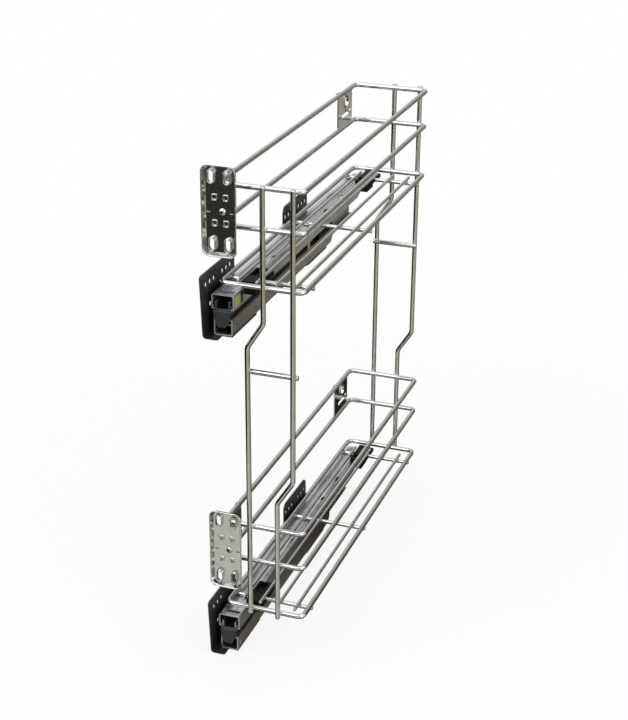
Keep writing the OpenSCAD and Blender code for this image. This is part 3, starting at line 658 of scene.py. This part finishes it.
# width, height and corner radius of each kind of hole, and its place from the plate's middle
SLOT, SLOT_PLACE = (6.4, 13.6, 3.15), (9.15, 37.15)
NEST, NEST_PLACE = (4.6, 5.6, 0.35), (6.5, 14.2)
MARK, MARK_PLACE = (4.0, 1.2, 0.5), (13.2, -2.0)
SCREW_HOLE = (4.4, 4.4, 2.15)
for tier, base in TIERS.items():
    middle = base + DOOR_Z
    work = bmesh.new()
    slots = in_pairs(middle, SLOT_PLACE, SLOT, SLOT_COLLAR)
    nests = in_pairs(middle, NEST_PLACE, NEST, NEST_COLLAR)
    # painted shade: the insides of the two side marks are drawn dark and dull, for the shade in them
    marks = [((DOOR_X + side * MARK_PLACE[0], middle + MARK_PLACE[1], *MARK), SUNK, "dull")
             for side in (-1, 1)]
    hole = ((PLATE_SCREW[0], middle + PLATE_SCREW[1], *SCREW_HOLE), PUNCHED)
    pressed(work, lambda u, v, d: Vector((u, DOOR_BACK - d, v)),
            ((DOOR_X, middle, DOOR_W, DOOR_H, DOOR_R), rim_profile()),
            slots + nests + marks + [hole])
    pressed(work, lambda u, v, d: Vector((FLANGE_X - d, u, v)),
            ((sum(FLANGE_Y) / 2, middle, FLANGE_Y[1] - FLANGE_Y[0], FLANGE_H, FLANGE_R), SHEARED),
            [((y, base + SCREW_Z, *SCREW_HOLE), PUNCHED) for y in SCREW_Y])
    bmesh.ops.recalc_face_normals(work, faces=work.faces)
    name = f"{tier}_door_bracket_pressing"
    mesh = as_mesh(work, name, CHROME_SHEET, ZINC_RECESS_SHADE)
    shaded(mesh, 50)
    piece(name, mesh, "basket", [f"{tier}_door_bracket"])


# ---------- pan-head screws with square nuts ----------

SCREW_TREE, given, output = geometry_tree("screws on points")
SCREW_TREE.interface.new_socket("Screw", in_out="INPUT", socket_type="NodeSocketObject")
shape = add(SCREW_TREE, "GeometryNodeObjectInfo", [("Object", given.outputs["Screw"])])
screws = add(SCREW_TREE, "GeometryNodeInstanceOnPoints", [
    ("Points", given.outputs["Geometry"]), ("Instance", shape.outputs["Geometry"])
])
finish_tree(SCREW_TREE, given, output, screws.outputs["Instances"])

ROUND = 28
# the head, (radius, height) from its crown to the sheet that it stands on; a shank of 4 mm follows
HEAD_CROWN = -2.3
HEAD = [(1.0, -2.26), (2.0, -2.08), (2.8, -1.75), (3.4, -1.25), (3.72, -0.7), (3.78, -0.25),
        (3.7, -0.05), (2.05, 0.0), (2.0, 0.05)]
# the square nut, 7 mm across and 3 mm thick: (growth, height above the sheets) of edge and hole
NUT, NUT_HOLE = (0, 0, 7, 7, 0.6), (0, 0, 4.1, 4.1, 2.0)
NUT_EDGE = [(-0.5, 3.0), (-0.25, 3.0), (0, 2.7), (0, 0.2), (-0.2, 0), (-0.4, 0)]
NUT_BORE = [(0.3, 3.0), (0, 2.7), (0, 0)]
# the cross recess: two arms and a wider pit at their middle, each (width, length, turn in degrees)
RECESS = ((1.3, 4.8, 0), (4.8, 1.3, 0), (2.7, 2.7, 45))
RECESS_TOP, RECESS_FLOOR = -3.0, -0.6


def turned(work, profile):
    """A closed body of revolution about Z; the profile lists (radius, height), with its ends on Z."""
    rings = [[work.verts.new(Vector((r * math.cos(math.tau * k / ROUND),
                                     r * math.sin(math.tau * k / ROUND), z)) * MM)
              for k in range(ROUND)] for r, z in profile[1:-1]]
    for a, b in zip(rings, rings[1:]):
        for i in range(ROUND):
            work.faces.new((a[i], a[i - 1], b[i - 1], b[i]))
    for ring, (r, z) in ((rings[0], profile[0]), (rings[-1], profile[-1])):
        tip = work.verts.new((0, 0, z * MM))
        for i in range(ROUND):
            work.faces.new((ring[i], ring[i - 1], tip))


def recess_cutter(width, length, turn):
    """A block that narrows with depth, to cut one part of the recess."""
    work = bmesh.new()
    bmesh.ops.create_cube(work, size=1)
    for vertex in work.verts:
        above = vertex.co.z < 0
        taper = 1.0 if above else 0.6
        vertex.co = Vector((vertex.co.x * width * taper, vertex.co.y * length * taper,
                            RECESS_TOP if above else RECESS_FLOOR)) * MM
    bmesh.ops.rotate(work, verts=work.verts, matrix=Matrix.Rotation(math.radians(turn), 3, "Z"))
    return linked("recess", as_mesh(work, "recess"))


def screw(name, sheets, turn):
    """One pan-head screw with its nut. The head stands on z = 0, towards -Z, before the turn."""
    end = sheets + 4.0
    work = bmesh.new()
    turned(work, [(0, HEAD_CROWN)] + HEAD + [(2.0, end - 0.4), (1.7, end), (0, end)])
    # depths above zero close the nut's underside, where it lies on the sheets
    edge, bore = ([(growth, sheets + rise) for growth, rise in profile]
                  for profile in (NUT_EDGE, NUT_BORE))
    pressed(work, lambda u, v, d: Vector((u, v, d)), (NUT, edge), [(NUT_HOLE, bore)])
    bmesh.ops.recalc_face_normals(work, faces=work.faces)
    source = linked(name, as_mesh(work, name))
    cutters = [recess_cutter(*part) for part in RECESS]
    for cutter in cutters:
        cut = source.modifiers.new("recess", "BOOLEAN")
        cut.operation, cut.solver, cut.object = "DIFFERENCE", "EXACT", cutter
    mesh = evaluated(source, name)
    for cutter in cutters:
        bpy.data.objects.remove(cutter)
    # the recess's walls and floor, which get the painted shade: within its reach, below the crown, and
    # steep or deep
    inside = mesh.attributes.new("inside recess", "BOOLEAN", "FACE")
    for polygon in mesh.polygons:
        across, height = polygon.center.xy.length / MM, polygon.center.z / MM
        steep_or_deep = abs(polygon.normal.z) < 0.6 or height > -0.8
        inside.data[polygon.index].value = across < 2.7 and height < -0.3 and steep_or_deep
    mesh.transform(turn)
    return linked(name, mesh)


def driven(name, places, kind, replaced=()):
    """A piece with a screw at each place. The inside of each recess is drawn dark, as painted shade."""
    mesh = grown(SCREW_TREE, point_mesh(name, places), name, ZINC_SCREW, {"Screw": kind})
    mesh.materials.append(ZINC_RECESS_SHADE)
    inside = mesh.attributes["inside recess"]
    for polygon, mark in zip(mesh.polygons, inside.data):
        polygon.material_index = int(mark.value)
    mesh.attributes.remove(inside)
    piece(name, mesh, "basket", replaced)


flange_screw = screw("flange screw", SHEET + SIDE_PLATE_T, Matrix.Rotation(math.radians(90), 4, "Y"))
plate_screw = screw("plate screw", SHEET, Matrix.Rotation(math.radians(-90), 4, "X"))
for tier, base in TIERS.items():
    driven(f"{tier}_flange_screws_domed", [(FLANGE_X - SHEET, y, base + SCREW_Z) for y in SCREW_Y],
           flange_screw, [f"{tier}_door_bracket_screws"])
    driven(f"{tier}_plate_screw_domed",
           [(PLATE_SCREW[0], DOOR_BACK - SHEET, base + DOOR_Z + PLATE_SCREW[1])], plate_screw)
for made in (flange_screw, plate_screw):
    bpy.data.objects.remove(made)


# ---------- plain patch on the runner's front end ----------


def patch(name, y, z, material):
    """A plain film, 0.1 mm thick, on the outer wall of the upper moving member."""
    work = bmesh.new()
    corners = [work.verts.new(Vector((RUNNER_WALL_X + 0.12, cy, TIERS["upper"] + cz)) * MM)
               for cy, cz in ((y[0], z[0]), (y[1], z[0]), (y[1], z[1]), (y[0], z[1]))]
    work.faces.new(corners)
    bmesh.ops.subdivide_edges(work, edges=work.edges, cuts=3, use_grid_fill=True)
    copied = bmesh.ops.extrude_face_region(work, geom=work.faces[:])
    moved = [v for v in copied["geom"] if isinstance(v, bmesh.types.BMVert)]
    bmesh.ops.translate(work, verts=moved, vec=Vector((-0.1 * MM, 0, 0)))
    bmesh.ops.recalc_face_normals(work, faces=work.faces)
    piece(name, as_mesh(work, name, material), "basket")


# spans along Y, and up from the tier's height
LABEL_Y, LABEL_Z = (-29.5, -13.5), (-25.2, -12.8)
LABEL_EDGE_Y, LABEL_EDGE_Z = (LABEL_Y[1] + 0.1, -6.0), (LABEL_Z[0], -13.6)
patch("upper_label_blank", LABEL_Y, LABEL_Z, VINYL)
patch("upper_label_blank_edge", LABEL_EDGE_Y, LABEL_EDGE_Z, VINYL_DARK)


# ---------- camera, floor and world, in metres ----------

CAMERA_PLACE = (0.6377, -1.4625, 1.0148)
azimuth, elevation, roll = math.radians(19.776), math.radians(25.438), math.radians(0.339)
ahead = Vector((-math.sin(azimuth) * math.cos(elevation),
                math.cos(azimuth) * math.cos(elevation), -math.sin(elevation)))
flat_right = Vector((math.cos(azimuth), math.sin(azimuth), 0))
flat_up = flat_right.cross(ahead)
right = flat_right * math.cos(roll) + flat_up * math.sin(roll)
up = flat_up * math.cos(roll) - flat_right * math.sin(roll)
camera_data = bpy.data.cameras.new("camera")
camera_data.sensor_width = 36
camera_data.lens = 76.95
camera_data.shift_x = 0.0033
camera_data.shift_y = 0.0567
camera_data.clip_end = 50
camera = linked("camera", camera_data)
camera.matrix_world = Matrix.Translation(CAMERA_PLACE) @ Matrix(
    (right, up, -ahead)).transposed().to_4x4()
scene.camera = camera


def bare_material(name):
    """A material with no nodes yet."""
    made = bpy.data.materials.new(name)
    made.use_nodes = True
    made.node_tree.nodes.clear()
    return made, made.node_tree


# matt white paint. Near the object it shows its shadow; further out it turns into the white of
# the backdrop, fully from 1.6 m on.
FLOOR_PAINT, tree = bare_material("matt white floor paint")
paint = add(tree, "ShaderNodeBsdfDiffuse", [("Color", linear("#f4f4f2"))])
shine = add(tree, "ShaderNodeEmission", [("Color", (1, 1, 1, 1)), ("Strength", 1.0)])
rays = add(tree, "ShaderNodeLightPath")
spot = add(tree, "ShaderNodeTexCoord").outputs["Object"]
away = add(tree, "ShaderNodeVectorMath", [(0, spot), (1, (0.05, 0.2, 0.0))], operation="DISTANCE")
share = add(tree, "ShaderNodeMapRange", [
    ("Value", away.outputs["Value"]), ("From Min", 0.35), ("From Max", 1.6), ("To Min", 0.86),
    ("To Max", 1.0)
], interpolation_type="SMOOTHSTEP")
seen = add(tree, "ShaderNodeMath", [
    (0, rays.outputs["Is Camera Ray"]), (1, share.outputs["Result"])
], operation="MULTIPLY")
mixed = add(tree, "ShaderNodeMixShader", [
    ("Fac", seen.outputs["Value"]), (1, paint.outputs["BSDF"]), (2, shine.outputs["Emission"])
])
add(tree, "ShaderNodeOutputMaterial", [("Surface", mixed.outputs["Shader"])])
# the floor reaches this far to each side, and lies just under the object
FLOOR_HALF, FLOOR_DROP = 30, 0.0006
floor_z = cad_box[0].z - FLOOR_DROP
floor_mesh = bpy.data.meshes.new("floor")
floor_mesh.from_pydata([(x * FLOOR_HALF, y * FLOOR_HALF, floor_z)
                        for x, y in ((-1, -1), (1, -1), (1, 1), (-1, 1))], [], [(0, 1, 2, 3)])
floor_mesh.materials.append(FLOOR_PAINT)
floor = linked("floor", floor_mesh)
floor.visible_glossy = False

# Camera, mirror and glass rays all meet plain white; only the soft light on matt surfaces is lower.
world = bpy.data.worlds.new("studio")
world.use_nodes = True
scene.world = world
tree = world.node_tree
tree.nodes.clear()
soft = add(tree, "ShaderNodeBackground", [("Color", (1, 1, 1, 1)), ("Strength", 0.55)])
white = add(tree, "ShaderNodeBackground", [("Color", (1, 1, 1, 1)), ("Strength", 1.0)])
rays = add(tree, "ShaderNodeLightPath")
seen = rays.outputs["Is Camera Ray"]
for kind in ("Is Glossy Ray", "Is Transmission Ray"):
    seen = add(tree, "ShaderNodeMath", [(0, seen), (1, rays.outputs[kind])],
               operation="MAXIMUM").outputs["Value"]
shown = add(tree, "ShaderNodeMixShader", [
    ("Fac", seen), (1, soft.outputs["Background"]), (2, white.outputs["Background"])
])
add(tree, "ShaderNodeOutputWorld", [("Surface", shown.outputs["Shader"])])


# ---------- boards that the chrome mirrors, in metres ----------


def level(z, x, y):
    """Corners of a level board; its colours run along X."""
    return [(x[0], y[0], z), (x[1], y[0], z), (x[1], y[1], z), (x[0], y[1], z)]


def upright_along_x(y, x, z):
    """Corners of an upright board; its colours run along X."""
    return [(x[0], y, z[0]), (x[1], y, z[0]), (x[1], y, z[1]), (x[0], y, z[1])]


def upright_along_y(x, y, z):
    """Corners of an upright board; its colours run along Y."""
    return [(x, y[0], z[0]), (x, y[1], z[0]), (x, y[1], z[1]), (x, y[0], z[1])]


def board(name, corners, stops):
    """A board outside the picture that gives the chrome its dark and tinted bands. Only reflections
    see it. Its colour runs through the stops from the first corner towards the second."""
    mesh = bpy.data.meshes.new(name)
    mesh.from_pydata([Vector(corner) for corner in corners], [], [(0, 1, 2, 3)])
    paint, nest = bare_material(name)
    start, way = Vector(corners[0]), Vector(corners[1]) - Vector(corners[0])
    place = add(nest, "ShaderNodeTexCoord").outputs["Object"]
    moved = add(nest, "ShaderNodeVectorMath", [(0, place), (1, start)], operation="SUBTRACT")
    run = add(nest, "ShaderNodeVectorMath", [
        (0, moved.outputs["Vector"]), (1, way / way.length_squared)
    ], operation="DOT_PRODUCT")
    colour = add(nest, "ShaderNodeValToRGB", [("Fac", run.outputs["Value"])], stops)
    glow = add(nest, "ShaderNodeEmission", [("Color", colour.outputs["Color"]), ("Strength", 1.0)])
    add(nest, "ShaderNodeOutputMaterial", [("Surface", glow.outputs["Emission"])])
    mesh.materials.append(paint)
    made = linked(name, mesh)
    for kind in ("camera", "diffuse", "transmission", "volume_scatter", "shadow"):
        setattr(made, "visible_" + kind, False)


UMBER, PALE_UMBER, DARK_UMBER, BEIGE = "#2b2621", "#3a332b", "#1c1916", "#c4b597"
SIDE_X = (-1.3, 0.55, 2.6)
NEAR_Y, MID_Y, BACK_WALL_Y = -0.55, 0.6, 2.5
UNDER_Z, DEEP_Z = -0.5, -0.8
WIDE = (-4, 4)

# a black flag in front turns the upper door bracket and the left of each upright dark
board("black flag", [(-1.0, -0.45, 0.42), (0.48, -1.045, 0.42), (-0.35, -0.711, -0.2),
                     (-1.0, -0.45, -0.2)],
      [(0.0, "#141210"), (0.27, "#2a2724"), (0.38, "#383531"), (0.5, "#383531"), (0.59, "#100e0d")])
board("dark board, left", upright_along_y(SIDE_X[0], (-1.3, 2.6), (-1.2, 0.35)),
      [(0.0, "#0e0c0a"), (1.0, "#1f1b17")])
board("dark board underneath", level(UNDER_Z, SIDE_X[:2], (NEAR_Y, 0.9)),
      [(0.0, DARK_UMBER), (0.4, "#3a362f"), (0.8, "#57534a"), (1.0, "#8b877a")])
board("pale board, low in front", level(UNDER_Z, (-3, 4), (NEAR_Y, -6)),
      [(0.27, "#2b2721"), (0.35, "#dcdccd"), (0.5, "#e0e0d2"), (0.6, BEIGE), (1.0, BEIGE)])
board("pale board, low on the right", level(UNDER_Z, SIDE_X[1:], (NEAR_Y, MID_Y)),
      [(0.0, "#b9b7aa"), (1.0, "#c9c4b4")])
board("dark board, low behind", level(DEEP_Z, WIDE, (MID_Y, BACK_WALL_Y)),
      [(0.0, DARK_UMBER), (1.0, UMBER)])
board("pale board, right", upright_along_y(SIDE_X[2], (-1.6, BACK_WALL_Y), (-1.6, 0.3)),
      [(0.0, BEIGE), (0.4, "#dcd7ca"), (0.6, "#dcd7ca"), (0.8, "#4a4238"), (1.0, PALE_UMBER)])
board("low wall behind", upright_along_x(BACK_WALL_Y, WIDE, (DEEP_Z, 0.0)),
      [(0.0, DARK_UMBER), (0.52, UMBER), (0.57, "#b8b2a2"), (0.67, "#a8a294"), (0.74, PALE_UMBER)])
board("dark rail behind", upright_along_x(BACK_WALL_Y, WIDE, (0.0, 0.35)),
      [(0.0, UMBER), (1.0, PALE_UMBER)])
board("grey wall behind", upright_along_x(BACK_WALL_Y, WIDE, (0.35, 4.5)),
      [(0.0, "#d4d7da"), (0.36, "#f0f2f3"), (0.47, "#e6e8e8"), (0.54, "#c3c4bc"), (0.66, "#867f73")])
board("pale blue wall in front", upright_along_x(-4, (-5, 3), (1.0, 6.0)),
      [(0.0, "#cfdeee"), (1.0, "#d8e3ef")])


# ---------- lamps, in metres and watts ----------


def softbox(name, place, size, power):
    """A soft lamp that is aimed at the middle of the object."""
    data = bpy.data.lights.new(name, "AREA")
    data.shape = "RECTANGLE"
    data.size, data.size_y = size
    data.energy = power
    way = Vector((0.06, 0.2, 0.25)) - Vector(place)
    turn = way.to_track_quat("-Z", "Y").to_matrix().to_4x4()
    linked(name, data).matrix_world = Matrix.Translation(place) @ turn


softbox("key", (-1.3, -1.9, 2.3), (2.4, 2.4), 38)
softbox("overhead", (0.5, 0.4, 2.6), (3.2, 3.2), 24)
softbox("fill", (2.4, -1.2, 0.8), (1.4, 2.0), 16)

scene.view_settings.view_transform = "Standard"
